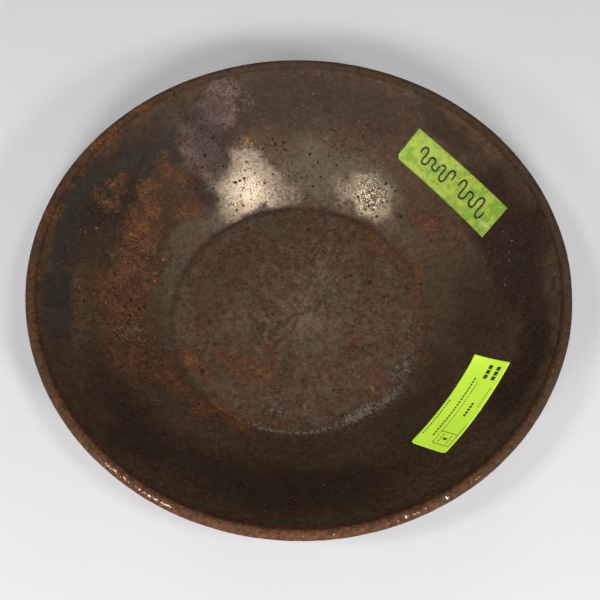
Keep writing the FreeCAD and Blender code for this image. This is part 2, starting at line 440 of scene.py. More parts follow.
def add_piece(name, points, faces, material):
    """A smooth mesh from points in millimetres, riding on the pan's one body."""
    mesh = bpy.data.meshes.new(name)
    mesh.from_pydata((np.asarray(points) * MM).tolist(), [], faces)
    mesh.polygons.foreach_set("use_smooth", [True] * len(mesh.polygons))
    mesh.update()
    mesh.materials.append(material)
    piece = add_object(name, mesh)
    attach(piece, "root")
    return piece


def add_attribute(piece, name, values):
    attribute = piece.data.attributes.new(name, "FLOAT", "POINT")
    attribute.data.foreach_set("value", np.asarray(values, dtype=np.float32))


def ring_faces(count):
    """Quads between each ring and the next, facing into the pan on the seen face."""
    faces = []
    for ring in range(count - 1):
        low, high = ring * AROUND, (ring + 1) * AROUND
        for step in range(AROUND):
            after = (step + 1) % AROUND
            faces.append((low + step, high + step, high + after, low + after))
    return faces


def fan_faces(middle, ring, upwards):
    """Triangles from a middle point to a ring."""
    faces = []
    for step in range(AROUND):
        after = (step + 1) % AROUND
        pair = (ring + step, ring + after) if upwards else (ring + after, ring + step)
        faces.append((middle, *pair))
    return faces


def ragged(points, azimuth, radius):
    """The same places pushed about by noise, so that patches of wear get uneven outlines."""
    push = 14 * (cloud(points, 30, 21) - 0.5) + 9 * (cloud(points, 9, 22) - 0.5)
    turn = 18 * (cloud(points, 26, 23) - 0.5) + 9 * (cloud(points, 8, 24) - 0.5)
    return azimuth + np.degrees(turn / np.maximum(radius, 10)), radius + push


# The bead: the near side is the rustiest, and the left side has rust in streaks. Each is a middle
# azimuth and how far it reaches to each side.
BEAD_NEAR = (-98, 58)
BEAD_LEFT = (150, 40)
# Where the bead's crown is rubbed to bare metal: middle azimuth, reach and strength.
BEAD_RUBBED = ((-124, 14, 0.72), (-64, 16, 0.52), (-90, 50, 0.28))
CROWN_RADIUS = 150.6
CROWN_HALF_WIDTH = 1.5
# The bead's rust starts on the wall at this radius and is at its full strength this far out.
RUST_CLIMB_START = 141
RUST_CLIMB = 5
# The ring that the pan stands and rubs on: radius and half width, and the base inside it.
FOOT_RADIUS = 73
FOOT_HALF_WIDTH = 4
BASE_INSIDE = 70


def pan_wear(face_line, back_line, azimuth, points):
    """Each kind of wear at each point of the pan, with the painted shade, sheen and glints among
    them.
    """
    lines = np.concatenate([face_line, back_line[::-1]])
    grid_radius = np.repeat(lines[:, 0], AROUND)
    grid_azimuth = np.tile(azimuth, len(lines))
    inside = np.repeat(np.arange(len(lines)) < len(face_line), AROUND)
    on_bead = np.repeat(lines[:, 3] == len(BENDS), AROUND)
    bowl = inside & ~on_bead
    ragged_azimuth, ragged_radius = ragged(points, grid_azimuth, grid_radius)
    wear = {}
    for name, rows in WEAR.items():
        if name in SHARP_WEAR:
            wear[name] = spread(grid_azimuth, grid_radius, rows) * bowl
        else:
            wear[name] = spread(ragged_azimuth, ragged_radius, rows) * bowl
    wear["blots"] = blots(grid_azimuth, grid_radius, BLOTS, 1.0) * bowl
    wear["red"] = blots(ragged_azimuth, ragged_radius, RED_BLOTS, 0.75) * bowl

    broad = cloud(points, 34, 7)
    medium = cloud(points, 13, 8)
    rubbed_ring = np.exp(-(((grid_radius - FOOT_RADIUS) / FOOT_HALF_WIDTH) ** 2))
    rubbed_base = np.where(grid_radius < BASE_INSIDE, 0.45 * medium, 0.0)
    outside = {
        "rust": 0.10 + 0.75 * broad,
        "dark_film_and_shade": 1.1 * np.clip(medium * 2.0 - 0.6, 0, 1),
        "slate": 0.9 * np.clip(1.2 - 2.4 * broad, 0, 1),
        "pits": 0.35,
        "pepper": 0.4,
        "pale_flecks_and_glints": 0.35,
        "bare": np.maximum(rubbed_ring * (0.35 + 0.6 * medium), rubbed_base),
    }
    for name, values in outside.items():
        wear[name] = np.where(inside, wear[name], values)

    seen_bead = on_bead & inside
    near = bell(grid_azimuth, *BEAD_NEAR)
    streaks = bell(grid_azimuth, *BEAD_LEFT) * 0.5 * np.clip(medium * 2.4 - 0.7, 0, 1)
    bead_rust = 0.24 + 0.45 * near + streaks
    wear["rust"] = np.where(seen_bead, bead_rust, wear["rust"])
    by_bead = bowl & (grid_radius > RUST_CLIMB_START)
    climb = np.clip((grid_radius - RUST_CLIMB_START) / RUST_CLIMB, 0, 1)
    wear["rust"] = np.where(by_bead, np.maximum(wear["rust"], climb * bead_rust), wear["rust"])
    wear["bead"] = np.where(seen_bead, near, 0.0)
    wear["dark_film_and_shade"] = np.where(seen_bead, 0.50 - 0.4 * near, wear["dark_film_and_shade"])
    crown = np.clip(1 - np.abs(grid_radius - CROWN_RADIUS) / CROWN_HALF_WIDTH, 0, 1)
    rubbed = np.max([most * bell(grid_azimuth, *place) for *place, most in BEAD_RUBBED], axis=0)
    wear["worn"] = np.where(seen_bead, crown * rubbed * (0.5 + 0.8 * medium), 0.0)
    return wear


def make_pan():
    """The pan in one closed mesh: the seen face, the bead, and back along the other face."""
    azimuth = np.linspace(-180, 180, AROUND, endpoint=False)
    face_line = section(FACE_ROWS)
    back_line = section(BACK_ROWS, SHEET)
    face = bent_rings(face_line, azimuth, True)
    back = bent_rings(back_line, azimuth, False)[::-1]
    rings = np.concatenate([face, back])
    points = rings.reshape(-1, 3)
    count = len(rings)
    faces = ring_faces(count)
    faces += fan_faces(len(points), 0, True)
    faces += fan_faces(len(points) + 1, (count - 1) * AROUND, False)
    middle_lift = rings[0, :, 2].mean()
    points = np.concatenate([points, [[0, 0, middle_lift], [0, 0, middle_lift - SHEET]]])
    piece = add_piece("pan", points, faces, rusted_steel())
    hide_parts("pan_body")
    wear = pan_wear(face_line, back_line, azimuth, points[:-2])
    for name, values in wear.items():
        ends = (values[:AROUND].mean(), values[-AROUND:].mean())
        add_attribute(piece, name, np.append(values, ends))


# Plain noise seldom strays further than this from 0.5.
NOISE_REACH = 0.24


class Graph:
    """A material's node tree, with short ways to add the nodes used here."""

    def __init__(self, name):
        self.material = bpy.data.materials.new(name)
        self.material.use_nodes = True
        self.tree = self.material.node_tree
        self.shader = self.tree.nodes["Principled BSDF"]
        self.place = self.tree.nodes.new("ShaderNodeTexCoord").outputs["Object"]

    def put(self, socket, value):
        """Link a socket, or set a number or a colour on it."""
        if isinstance(value, bpy.types.NodeSocket):
            self.tree.links.new(value, socket)
        elif isinstance(value, tuple) and socket.type == "RGBA":
            socket.default_value = (*value, 1)
        else:
            socket.default_value = value

    def surface(self, **values):
        for name, value in values.items():
            self.put(self.shader.inputs[name.replace("_", " ")], value)

    def maths(self, operation, first, second=0.0, clamp=False):
        node = self.tree.nodes.new("ShaderNodeMath")
        node.operation = operation
        node.use_clamp = clamp
        self.put(node.inputs[0], first)
        self.put(node.inputs[1], second)
        return node.outputs[0]

    def total(self, *terms):
        """Sum of values, each given as a socket or as a socket and its weight."""
        result = None
        for term in terms:
            if isinstance(term, tuple):
                term = self.maths("MULTIPLY", *term)
            result = term if result is None else self.maths("ADD", result, term)
        return result

    def attribute(self, name):
        node = self.tree.nodes.new("ShaderNodeAttribute")
        node.attribute_name = name
        return node.outputs["Fac"]

    def noise(self, scale, detail=4.0, rough=0.6, place=None):
        """Noise spread over the whole of 0 to 1, with 0.5 as common a value as in plain noise."""
        node = self.tree.nodes.new("ShaderNodeTexNoise")
        self.put(node.inputs["Vector"], place or self.place)
        node.inputs["Scale"].default_value = scale
        node.inputs["Detail"].default_value = detail
        node.inputs["Roughness"].default_value = rough
        spread_out = self.tree.nodes.new("ShaderNodeMapRange")
        self.put(spread_out.inputs["Value"], node.outputs["Fac"])
        spread_out.inputs["From Min"].default_value = 0.5 - NOISE_REACH
        spread_out.inputs["From Max"].default_value = 0.5 + NOISE_REACH
        return spread_out.outputs["Result"]

    def cover(self, name, pattern, ragged, soft, most=1.0):
        """Where a kind of wear covers the steel: its edge is broken up by a pattern of 0 to 1.

        With most at 0.5 the strongest patch covers about half of the surface.
        """
        reach = self.total((self.attribute(name), most), (pattern, ragged))
        middle = 0.5 + ragged / 2
        return self.step(reach, middle - soft, middle + soft)

    def vector(self, operation, first, second):
        node = self.tree.nodes.new("ShaderNodeVectorMath")
        node.operation = operation
        self.put(node.inputs[0], first)
        if operation == "SCALE":
            self.put(node.inputs["Scale"], second)
        else:
            self.put(node.inputs[1], second)
        return node.outputs[0]

    def warped(self, scale, reach):
        """Object coordinates pushed about by noise, by up to about half the reach."""
        node = self.tree.nodes.new("ShaderNodeTexNoise")
        self.put(node.inputs["Vector"], self.place)
        node.inputs["Scale"].default_value = scale
        offset = self.vector("SUBTRACT", node.outputs["Color"], (0.5, 0.5, 0.5))
        return self.vector("ADD", self.place, self.vector("SCALE", offset, reach))

    def step(self, value, low, high):
        """0 below low, 1 above high, smooth between."""
        node = self.tree.nodes.new("ShaderNodeMapRange")
        node.interpolation_type = "SMOOTHSTEP"
        self.put(node.inputs["Value"], value)
        self.put(node.inputs["From Min"], low)
        self.put(node.inputs["From Max"], high)
        return node.outputs["Result"]

    def mix(self, factor, first, second):
        """Mix of two colours, or of two numbers."""
        node = self.tree.nodes.new("ShaderNodeMix")
        pair = (first, second)
        colours = any(isinstance(v, tuple) or getattr(v, "type", "") == "RGBA" for v in pair)
        node.data_type = "RGBA" if colours else "FLOAT"
        first_socket, second_socket, result = (6, 7, 2) if colours else (2, 3, 0)
        self.put(node.inputs[0], factor)
        self.put(node.inputs[first_socket], first)
        self.put(node.inputs[second_socket], second)
        return node.outputs[result]

    def spots(self, scale, largest, presence, place=None):
        """Round spots, one in a share of the cells: radii go up to largest, in cells."""
        node = self.tree.nodes.new("ShaderNodeTexVoronoi")
        self.put(node.inputs["Vector"], place or self.place)
        node.inputs["Scale"].default_value = scale
        split = self.tree.nodes.new("ShaderNodeSeparateColor")
        self.put(split.inputs[0], node.outputs["Color"])
        size = self.maths("MULTIPLY_ADD", split.outputs[0], largest * 0.7)
        size.node.inputs[2].default_value = largest * 0.3
        inside = self.maths("SUBTRACT", size, node.outputs["Distance"])
        there = self.maths("LESS_THAN", split.outputs[1], presence)
        return self.maths("MULTIPLY", self.step(inside, 0.0, largest * 0.35), there)

    def spun(self, around_scale, out_scale):
        """Noise stretched round the pan, as spinning marks it, fading to 0.5 by the axis."""
        flat = self.vector("MULTIPLY", self.place, (1.0, 1.0, 0.0))
        length = self.tree.nodes.new("ShaderNodeVectorMath")
        length.operation = "LENGTH"
        self.put(length.inputs[0], flat)
        radius = length.outputs["Value"]
        direction = self.vector("NORMALIZE", flat, (0.0, 0.0, 0.0))
        turned_place = self.vector("SCALE", direction, around_scale)
        out = self.tree.nodes.new("ShaderNodeCombineXYZ")
        self.put(out.inputs[2], self.maths("MULTIPLY", radius, out_scale))
        marks = self.noise(1.0, 4, 0.6, self.vector("ADD", turned_place, out.outputs[0]))
        return self.mix(self.step(radius, 0.03, 0.07), 0.5, marks)

    def bump(self, height, distance, normal=None):
        node = self.tree.nodes.new("ShaderNodeBump")
        node.inputs["Distance"].default_value = distance
        self.put(node.inputs["Height"], height)
        if normal is not None:
            self.put(node.inputs["Normal"], normal)
        return node.outputs["Normal"]


SKIN_DARK = (0.041, 0.020, 0.010)
SKIN_LIGHT = (0.085, 0.050, 0.026)
SKIN_RED = (0.092, 0.042, 0.020)
SKIN_GREEN = (0.074, 0.058, 0.034)
OLIVE = (0.088, 0.063, 0.034)
# black-brown film colour, also used as painted shade
BLACK_BROWN_AND_SHADE = (0.022, 0.0115, 0.006)
SLATE = (0.022, 0.0195, 0.0145)
# pinkish grey scale colour, also used as painted sheen
VIOLET_AND_SHEEN = (0.138, 0.087, 0.075)
STEEL_DARK = (0.080, 0.056, 0.034)
STEEL_LIGHT = (0.262, 0.210, 0.158)
STEEL_BROWN = (0.096, 0.067, 0.042)
STEEL_OLIVE = (0.188, 0.150, 0.094)
RUST_DEEP = (0.042, 0.019, 0.009)
RUST_MIDDLE = (0.093, 0.038, 0.015)
RUST_BRIGHT = (0.172, 0.069, 0.021)
BLOT_ORANGE = (0.33, 0.115, 0.020)
BLOT_RED = (0.090, 0.029, 0.014)
COPPER = (0.118, 0.049, 0.023)
CRUST_DARK = (0.065, 0.048, 0.034)
CRUST_LIGHT = (0.170, 0.133, 0.100)
PIT = (0.012, 0.008, 0.006)
# pale fleck colour, also used for painted glints
PALE_FLECK_AND_GLINT = (0.30, 0.26, 0.22)
WORN_METAL = (0.52, 0.40, 0.30)
TAPE_DEEP = (0.205, 0.340, 0.030)
TAPE_BRIGHT = (0.365, 0.465, 0.058)
TAPE_DIRT = (0.15, 0.23, 0.04)
# painted shade along the tape's edges
TAPE_EDGE_SHADE = (0.07, 0.13, 0.02)
# painted highlight on the tape's puckers
TAPE_HIGHLIGHT = (0.62, 0.74, 0.32)
MARKER_DARK = (0.010, 0.016, 0.009)
MARKER_LIGHT = (0.030, 0.045, 0.018)
NEON_DEEP = (0.600, 0.920, 0.060)
NEON_BRIGHT = (0.680, 0.980, 0.075)
NEON_EDGE = (0.72, 0.95, 0.30)
# Painted glow: the paper emits a fixed yellow-green whatever the lamps do, standing for its
# fluorescence, which gives back more than it gets.
NEON_GLOW = (0.55, 0.90, 0.05)
NEON_GLOW_STRENGTH = 0.26
PRINT_DARK = (0.020, 0.040, 0.012)
PRINT_LIGHT = (0.075, 0.140, 0.030)
WIRE_DARK = (0.13, 0.11, 0.095)
WIRE_LIGHT = (0.24, 0.21, 0.18)
FLOOR_DARK = (0.745, 0.735, 0.745)
FLOOR_LIGHT = (0.765, 0.755, 0.765)


def rusted_steel():
    """Old sheet steel: brown skin, bare, stained, pitted and rusted as the wear says, with painted
    shade in the crease and on the walls, and painted sheen and glints.
    """
    g = Graph("rusted_steel")
    broad = g.noise(32, 4, 0.6)
    mottle = g.noise(110, 5, 0.65)
    grain = g.noise(420, 4, 0.65)
    fine = g.noise(1250, 3, 0.65)
    spun = g.spun(22, 700)
    wander = g.warped(520, 0.003)
    patches = g.total((mottle, 0.30), (grain, 0.40), (fine, 0.30))
    clouds = g.total((broad, 0.4), (mottle, 0.35), (grain, 0.25))
    speckle = g.total((grain, 0.55), (fine, 0.45))
    films = g.total((clouds, 0.5), (speckle, 0.5))

    # the brown skin, with olive, black and blue-black films on it; the black film is partly
    # painted shade
    colour = g.mix(g.step(films, 0.22, 0.78), SKIN_DARK, SKIN_LIGHT)
    hue = g.noise(75, 3, 0.6)
    colour = g.mix(g.maths("MULTIPLY", g.step(hue, 0.50, 0.90), 0.5), colour, SKIN_RED)
    colour = g.mix(g.maths("MULTIPLY", g.step(hue, 0.50, 0.10), 0.6), colour, SKIN_GREEN)
    smooth = g.cover("olive", clouds, 0.7, 0.35, 0.7)
    colour = g.mix(smooth, colour, OLIVE)
    # black-brown film, partly painted shade darkening the walls
    colour = g.mix(g.cover("dark_film_and_shade", films, 0.6, 0.3), colour, BLACK_BROWN_AND_SHADE)
    grit = g.noise(270, 4, 0.7)
    colour = g.vector("SCALE", colour, g.total((grit, 0.78), 0.61))
    colour = g.mix(g.cover("slate", patches, 0.9, 0.28, 0.80), colour, SLATE)
    # pinkish grey scale, with the painted sheen streak above the left highlight
    pinkish = g.total((speckle, 0.65), (mottle, 0.35))
    colour = g.mix(g.cover("violet_scale_and_sheen", pinkish, 1.2, 0.20, 0.75), colour, VIOLET_AND_SHEEN)
    tint = g.noise(640, 3, 0.7)
    colour = g.mix(g.maths("MULTIPLY", g.step(tint, 0.60, 0.85), 0.42), colour, RUST_MIDDLE)
    colour = g.mix(g.maths("MULTIPLY", g.step(tint, 0.40, 0.15), 0.35), colour, OLIVE)

    # rubbed bare steel, breaking up at its edges
    bare = g.cover("bare", patches, 0.95, 0.24)
    steel = g.mix(g.total((spun, 0.5), (grain, 0.5)), STEEL_DARK, STEEL_LIGHT)
    steel = g.mix(g.maths("MULTIPLY", smooth, 0.7), steel, STEEL_OLIVE)
    steel = g.mix(g.step(g.attribute("bare"), 0.30, 0.95), STEEL_BROWN, steel)
    colour = g.mix(bare, colour, steel)

    # rust: deep red-brown with brighter orange where it is thickest
    rust = g.cover("rust", patches, 1.15, 0.26, 1.08)
    thick = g.total((g.attribute("rust"), 0.35), (fine, 0.3), (grain, 0.3), (mottle, 0.25))
    rust_colour = g.mix(g.step(thick, 0.34, 0.74), RUST_DEEP, RUST_MIDDLE)
    rust_colour = g.mix(g.step(thick, 0.66, 0.96), rust_colour, RUST_BRIGHT)
    copper = g.maths("MULTIPLY", g.attribute("bead"), g.step(grain, 0.2, 0.7))
    rust_colour = g.mix(copper, rust_colour, COPPER)
    colour = g.mix(rust, colour, rust_colour)
    red = g.cover("red", speckle, 0.8, 0.25)
    colour = g.mix(g.maths("MULTIPLY", red, 0.5), colour, BLOT_RED)
    blot = g.cover("blots", speckle, 0.5, 0.2)
    colour = g.mix(blot, colour, g.mix(fine, RUST_BRIGHT, BLOT_ORANGE))

    # pale crust, pits, peppering, pale flecks with painted glints, and the painted shade line in
    # the crease
    crust = g.cover("crust", speckle, 1.1, 0.12)
    colour = g.mix(crust, colour, g.mix(fine, CRUST_DARK, CRUST_LIGHT))
    # painted shade: the crease is darkened towards the colour of the pits
    crease_shade = g.maths("MULTIPLY", g.attribute("crease_shade"), g.total((mottle, 0.4), 0.4))
    colour = g.mix(crease_shade, colour, PIT)
    large_pits = g.spots(180, 0.29, g.attribute("pits"), wander)
    small_pits = g.spots(380, 0.40, g.maths("MULTIPLY", g.attribute("pits"), 0.9), wander)
    deep_pits = g.spots(105, 0.24, g.maths("MULTIPLY", g.attribute("bare"), 0.40), wander)
    pits = g.maths("MAXIMUM", deep_pits, g.maths("MAXIMUM", large_pits, small_pits))
    pepper = g.cover("pepper", g.total((fine, 0.75), (grain, 0.25)), 0.9, 0.08, 0.56)
    colour = g.mix(g.maths("MULTIPLY", pepper, 0.75), colour, PIT)
    colour = g.mix(g.maths("MULTIPLY", pits, 0.9), colour, PIT)
    # pale flecks, partly painted glints
    few = g.maths("MULTIPLY", g.attribute("pale_flecks_and_glints"), 0.9)
    pale_flecks_and_glints = g.maths("MAXIMUM", g.spots(190, 0.13, few, wander), g.spots(410, 0.22, few, wander))
    colour = g.mix(g.maths("MULTIPLY", pale_flecks_and_glints, 0.4), colour, PALE_FLECK_AND_GLINT)
    worn = g.cover("worn", g.noise(380, 4, 0.7), 0.9, 0.08)
    colour = g.mix(worn, colour, WORN_METAL)
    shade = g.total((fine, 0.74), (grain, 0.50), 0.4)
    colour = g.vector("SCALE", colour, shade)

    covered = g.maths("MAXIMUM", g.maths("MAXIMUM", rust, crust), g.maths("MAXIMUM", pits, blot))
    covered = g.maths("MAXIMUM", covered, g.maths("MULTIPLY", pepper, 0.8))
    shine = g.maths("MULTIPLY", bare, g.maths("SUBTRACT", 1.0, covered))
    metallic = g.maths("MAXIMUM", g.maths("MULTIPLY", shine, 0.85), worn)
    rough = g.total((grain, 0.14), (broad, 0.08), g.mix(smooth, 0.58, 0.38))
    polished = g.total((grain, 0.10), (spun, 0.06), (g.attribute("bare"), -0.16), 0.33)
    rough = g.mix(bare, rough, polished)
    rough = g.mix(covered, rough, 0.80)
    rough = g.mix(worn, rough, 0.30)
    g.surface(Base_Color=colour, Metallic=metallic, Roughness=rough, Specular_IOR_Level=0.20)

    height = g.total((rust, 0.5), (crust, 0.9), (blot, 0.8), (pits, -1.0), (pepper, -0.4))
    height = g.total(height, (g.maths("MULTIPLY", covered, grain), 1.2), (worn, 0.4))
    normal = g.bump(height, 0.14 * MM)
    normal = g.bump(g.total(grain, (fine, 0.6), (spun, 0.3)), 0.026 * MM, normal)
    g.surface(Normal=normal)
    return g.material


def wall_height(radius):
    """Height of the wall's inner face at a radius, in millimetres."""
    return WALL_CENTRE[1] - math.sqrt(WALL_RADIUS**2 - (radius - WALL_CENTRE[0]) ** 2)


def label_axes(label):
    """The label's middle on the wall, and its directions out, around and off the wall."""
    slope = math.asin((label["radius"] - WALL_CENTRE[0]) / WALL_RADIUS)
    turn = Matrix.Rotation(math.radians(label["azimuth"]), 3, "Z")
    middle = turn @ Vector((label["radius"], 0, wall_height(label["radius"])))
    uphill = turn @ Vector((math.cos(slope), 0, math.sin(slope)))
    sideways = turn @ Vector((0, 1, 0))
    off = turn @ Vector((-math.sin(slope), 0, math.cos(slope)))
    tilt = math.radians(label["tilt"])
    out = uphill * math.cos(tilt) + sideways * math.sin(tilt)
    along = sideways * math.cos(tilt) - uphill * math.sin(tilt)
    return middle, out, along, off


def on_wall(label, across, along, lift):
    """Points on the worn wall under a label's flat coordinates, raised off the wall by lift."""
    middle, out, sideways, off = label_axes(label)
    points = []
    for u, v in zip(np.ravel(across), np.ravel(along)):
        start = middle + out * u + sideways * v
        # slide off the tangent plane until the point is on the wall's arc
        step = 0.0
        for _ in range(6):
            spot = start + off * step
            radius = math.hypot(spot.x, spot.y)
            step += (wall_height(radius) - spot.z) / off.z * 0.8
        points.append(start + off * step)
    points = np.array(points)
    radius = np.hypot(points[:, 0], points[:, 1])
    azimuth = np.degrees(np.arctan2(points[:, 1], points[:, 0]))
    heading = np.arcsin((radius - WALL_CENTRE[0]) / WALL_RADIUS)
    rise = waviness(azimuth, radius) + np.ravel(lift)
    return points + normals(heading, azimuth) * rise[:, None]


def plate(label, across, along, low, high):
    """A thin closed plate lying on the wall, from grids of flat coordinates and lifts."""
    rows, columns = across.shape
    top = on_wall(label, across, along, high + 0 * across)
    bottom = on_wall(label, across, along, low + 0 * across)
    size = rows * columns
    faces = []
    for row in range(rows - 1):
        for column in range(columns - 1):
            a = row * columns + column
            b, c, d = a + 1, a + columns + 1, a + columns
            faces.append((a, b, c, d))
            faces.append((size + a, size + d, size + c, size + b))
    edge = [(0, column) for column in range(columns)]
    edge += [(row, columns - 1) for row in range(1, rows)]
    edge += [(rows - 1, column) for column in range(columns - 2, -1, -1)]
    edge += [(row, 0) for row in range(rows - 2, 0, -1)]
    ring = [row * columns + column for row, column in edge]
    for first, second in zip(ring, ring[1:] + ring[:1]):
        faces.append((first, size + first, size + second, second))
    return np.concatenate([top, bottom]), faces


def label_grid(label, inner_edge, outer_edge, step):
    """Flat coordinates over a label: across from edge to edge, along from end to end."""
    along = np.linspace(-label["length"] / 2, label["length"] / 2, int(label["length"] / step) + 1)
    share = np.linspace(0, 1, int(label["width"] / step) + 1)
    inner = np.array([inner_edge(v) for v in along])
    outer = np.array([outer_edge(v) for v in along])
    across = inner[:, None] + (outer - inner)[:, None] * share[None]
    return across, along[:, None] + 0 * across


def green_tape():
    """Crepe masking tape: blotchy yellow-green, crinkled across its width, with painted shade
    along its edges and a painted highlight on its puckers.
    """
    g = Graph("green_crepe_tape")
    blotch = g.noise(170, 5, 0.6)
    crinkle = g.noise(1500, 4, 0.65)
    dirt = g.noise(520, 4, 0.7)
    tone = g.total((blotch, 0.75), (crinkle, 0.25))
    colour = g.mix(g.step(tone, 0.36, 0.62), TAPE_DEEP, TAPE_BRIGHT)
    colour = g.mix(g.maths("MULTIPLY", g.step(dirt, 0.56, 0.78), 0.4), colour, TAPE_DIRT)
    # painted shade: the tape darkens towards its edges, as under a raised edge
    colour = g.mix(g.maths("MULTIPLY", g.attribute("edge"), 0.5), colour, TAPE_EDGE_SHADE)
    # painted highlight: the raised puckers are lightened as if they catch the light
    colour = g.mix(g.maths("MULTIPLY", g.attribute("pucker_highlight"), 0.35), colour, TAPE_HIGHLIGHT)
    g.surface(Base_Color=colour, Roughness=g.total((crinkle, 0.25), 0.42), Specular_IOR_Level=0.35)
    g.surface(Normal=g.bump(g.total((crinkle, 1.0), (blotch, 0.8)), 0.06 * MM))
    return g.material


# Raised puckers in the tape, in its flat coordinates: middle across and along, size across and
# along, and height.
PUCKERS = (
    (-5.5, -33.5, 1.3, 3.6, 0.42),
    (-2.5, -36.0, 3.0, 1.2, 0.25),
    (6.0, 14.0, 5.0, 1.3, 0.12),
)
RIDGE_HEIGHT = 0.09


def pucker(across, along, middle_across, middle_along, size_across, size_along, height):
    """How far one pucker raises the tape, in millimetres."""
    u = (across - middle_across) / size_across
    v = (along - middle_along) / size_along
    return height * np.exp(-(u**2) - v**2)


def make_tape():
    """The masking tape on the worn wall, with crepe ridges, a clipped corner and puckers."""
    half = TAPE["width"] / 2
    end = TAPE["length"] / 2

    def inner_edge(v):
        clipped = max(0.0, v - (end - TAPE_CLIPPED_CORNER)) / TAPE_CLIPPED_CORNER
        return -half + clipped * TAPE_CLIPPED_CORNER * 0.9

    across, along = label_grid(TAPE, inner_edge, lambda v: half, 0.8)
    flat = np.stack([across, along, 0 * across], -1).reshape(-1, 3)
    ridges = cloud(flat * np.array([0.35, 1.0, 1.0]), 1.4, 11).reshape(across.shape) - 0.5
    raised = sum(pucker(across, along, *row) for row in PUCKERS)
    lift = LIFT + TAPE["thick"] + RIDGE_HEIGHT * ridges + raised
    points, faces = plate(TAPE, across, along, LIFT + raised * 0.8, lift)
    piece = add_piece("green_masking_tape", points, faces, green_tape())
    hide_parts("masking_tape_label")
    # the edge mask, where the tape gets its painted edge shade
    margin = np.minimum(half - np.abs(across), end - np.abs(along))
    edge = np.clip(1 - margin / 0.5, 0, 1)
    add_attribute(piece, "edge", np.concatenate([edge.ravel(), np.ones(edge.size)]))
    # where the puckers get their painted highlight
    add_attribute(piece, "pucker_highlight", np.tile(np.clip(raised.ravel() / 0.3, 0, 1), 2))


def ribbon(label, path, width, low, high):
    """A flat stroke of ink along a path of flat coordinates."""
    path = np.array(path)
    ahead = np.gradient(path, axis=0)
    ahead /= np.linalg.norm(ahead, axis=1)[:, None]
    beside = np.stack([-ahead[:, 1], ahead[:, 0]], 1)
    steps = np.arange(len(path))
    from_end = np.minimum(steps + 0.6, len(path) - 0.4 - steps)
    half = width / 2 * np.sqrt(np.clip(from_end / 2.5, 0, 1))
    left = path + beside * half[:, None]
    right = path - beside * half[:, None]
    across = np.stack([left[:, 0], path[:, 0], right[:, 0]], 1)
    along = np.stack([left[:, 1], path[:, 1], right[:, 1]], 1)
    return plate(label, across, along, low, high)


def joined(parts):
    """One list of points and faces from several."""
    points, faces, count = [], [], 0
    for part_points, part_faces in parts:
        points.append(part_points)
        faces += [tuple(index + count for index in face) for face in part_faces]
        count += len(part_points)
    return np.concatenate(points), faces


def marker_ink():
    g = Graph("marker_ink")
    streak = g.noise(900, 4, 0.6)
    g.surface(Base_Color=g.mix(g.step(streak, 0.35, 0.75), MARKER_DARK, MARKER_LIGHT))
    g.surface(Roughness=g.total((streak, 0.3), 0.35))
    return g.material


# Runs of the scribble along the tape: start, stop, how many waves, and their height.
SCRIBBLE_RUNS = ((28.5, 1.5, 3.5, 5.4), (-4.5, -29.0, 3.0, 6.2))
PEN_WIDTH = 1.35
PEN_SUNK = 0.02
PEN_RAISED = 0.055


def make_scribble():
    """A felt-pen scribble in two runs where the tape was written on: plain waves, not letters."""
    top = LIFT + TAPE["thick"]
    parts = []
    for start, stop, waves, height in SCRIBBLE_RUNS:
        t = np.linspace(0, 1, 90)
        swing = np.sin(t * waves * 2 * math.pi)
        along = start + (stop - start) * t + 0.9 * np.sin(t * waves * 4 * math.pi)
        across = 0.4 + height * swing * (0.75 + 0.25 * np.cos(t * 7.0))
        path = np.stack([across, along], 1)
        parts.append(ribbon(TAPE, path, PEN_WIDTH, top - PEN_SUNK, top + PEN_RAISED))
    points, faces = joined(parts)
    add_piece("tape_scribble", points, faces, marker_ink())


def neon_paper():
    """Fluorescent label paper with a faint fibre, a slight unevenness and a painted glow."""
    g = Graph("neon_paper")
    cloudy = g.noise(90, 4, 0.5)
    fibre = g.noise(2400, 3, 0.6)
    tone = g.total((cloudy, 0.7), (fibre, 0.3))
    colour = g.mix(g.step(tone, 0.3, 0.7), NEON_DEEP, NEON_BRIGHT)
    colour = g.mix(g.maths("MULTIPLY", g.attribute("edge"), 0.45), colour, NEON_EDGE)
    g.surface(Base_Color=colour, Roughness=g.total((fibre, 0.2), 0.38))
    # painted glow: a fixed emission that stands for fluorescence
    g.surface(Emission_Color=NEON_GLOW, Emission_Strength=NEON_GLOW_STRENGTH)
    g.surface(Normal=g.bump(fibre, 0.012 * MM))
    return g.material


def sticker_half(v):
    """Half width of the sticker, which has round corners at its low-azimuth end only."""
    from_end = v + STICKER["length"] / 2
    half = STICKER["width"] / 2
    if from_end >= STICKER_CORNER:
        return half
    return half - STICKER_CORNER + math.sqrt(STICKER_CORNER**2 - (STICKER_CORNER - from_end) ** 2)


def make_sticker():
    """The paper sticker on the worn wall, with one corner curling up."""
    across, along = label_grid(STICKER, lambda v: -sticker_half(v), sticker_half, 0.6)
    flat = np.stack([across, along, 0 * across], -1).reshape(-1, 3)
    soft = cloud(flat, 9.0, 12).reshape(across.shape) - 0.5
    end = STICKER["length"] / 2
    curled = 0.5 * np.exp(-(((along - end) / 4.0) ** 2) - ((across + 13) / 7.0) ** 2)
    raised = np.clip(0.08 * soft, 0, 1) + curled
    points, faces = plate(STICKER, across, along, LIFT + raised, LIFT + STICKER["thick"] + raised)
    piece = add_piece("neon_sticker", points, faces, neon_paper())
    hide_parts("lot_sticker")
    margin = np.minimum(STICKER["width"] / 2 - np.abs(across), end - np.abs(along))
    add_attribute(piece, "edge", np.tile(np.clip(1 - margin.ravel() / 0.4, 0, 1), 2))


